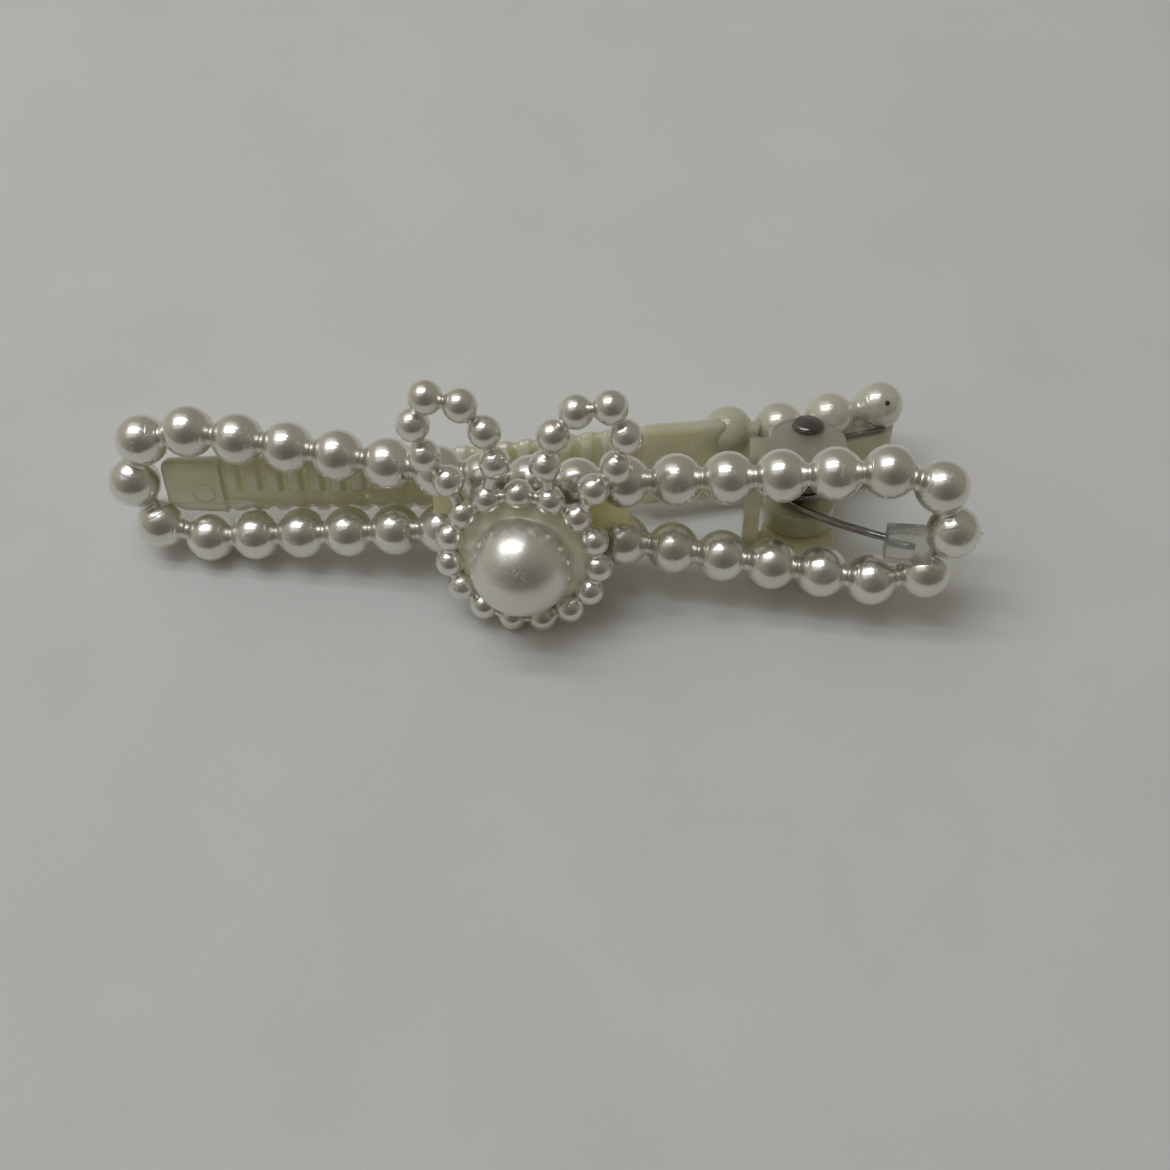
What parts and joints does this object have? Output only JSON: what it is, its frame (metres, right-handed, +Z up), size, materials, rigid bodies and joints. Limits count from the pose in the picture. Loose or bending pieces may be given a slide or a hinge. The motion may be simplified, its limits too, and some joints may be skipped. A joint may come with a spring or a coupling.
{
  "type": "spring hair clip",
  "caption": "Spring-closed hair clip with a waisted loop of moulded pearls, a ribbed rear jaw, a pinned hinge with a torsion spring and a pearl ring ornament.",
  "frame": {"origin": "on the surface the clip lies on, under the middle of its bounding box", "axes": "+X along the clip towards the handle end, +Y from the decorated arm towards the ribbed arm, +Z up; the clip lies leaning back on three points, as put down on a table"},
  "size_m": [0.0834, 0.0296, 0.0246],
  "materials": {
    "pearl_plastic": "pearlescent lacquer on translucent moulded plastic",
    "milky_plastic": "milky translucent moulded plastic with a pearlescent skin",
    "steel": "bright drawn wire and a polished rivet head",
    "clear_glue": "clear glossy adhesive"
  },
  "bodies": {
    "front": {"front_arm": "pearl_plastic", "hinge_pin": "steel", "torsion_spring": "steel", "ornament_frame": "pearl_plastic", "centre_pearl": "pearl_plastic", "pearl_glue": "clear_glue", "ornament_glue": "clear_glue"},
    "rear": {"rear_arm": "milky_plastic"}
  },
  "joints": [
    {"name": "clip_hinge", "type": "hinge", "parent": "front", "child": "rear", "pos_m": [0.02531, 0.00285, 0.00704], "axis": [0.0387, -0.4155, -0.9088], "range_deg": [0, 58], "stiffness_Nm_per_rad": 0.06, "springref_deg": -40.11, "deforming": ["torsion_spring"]}
  ]
}
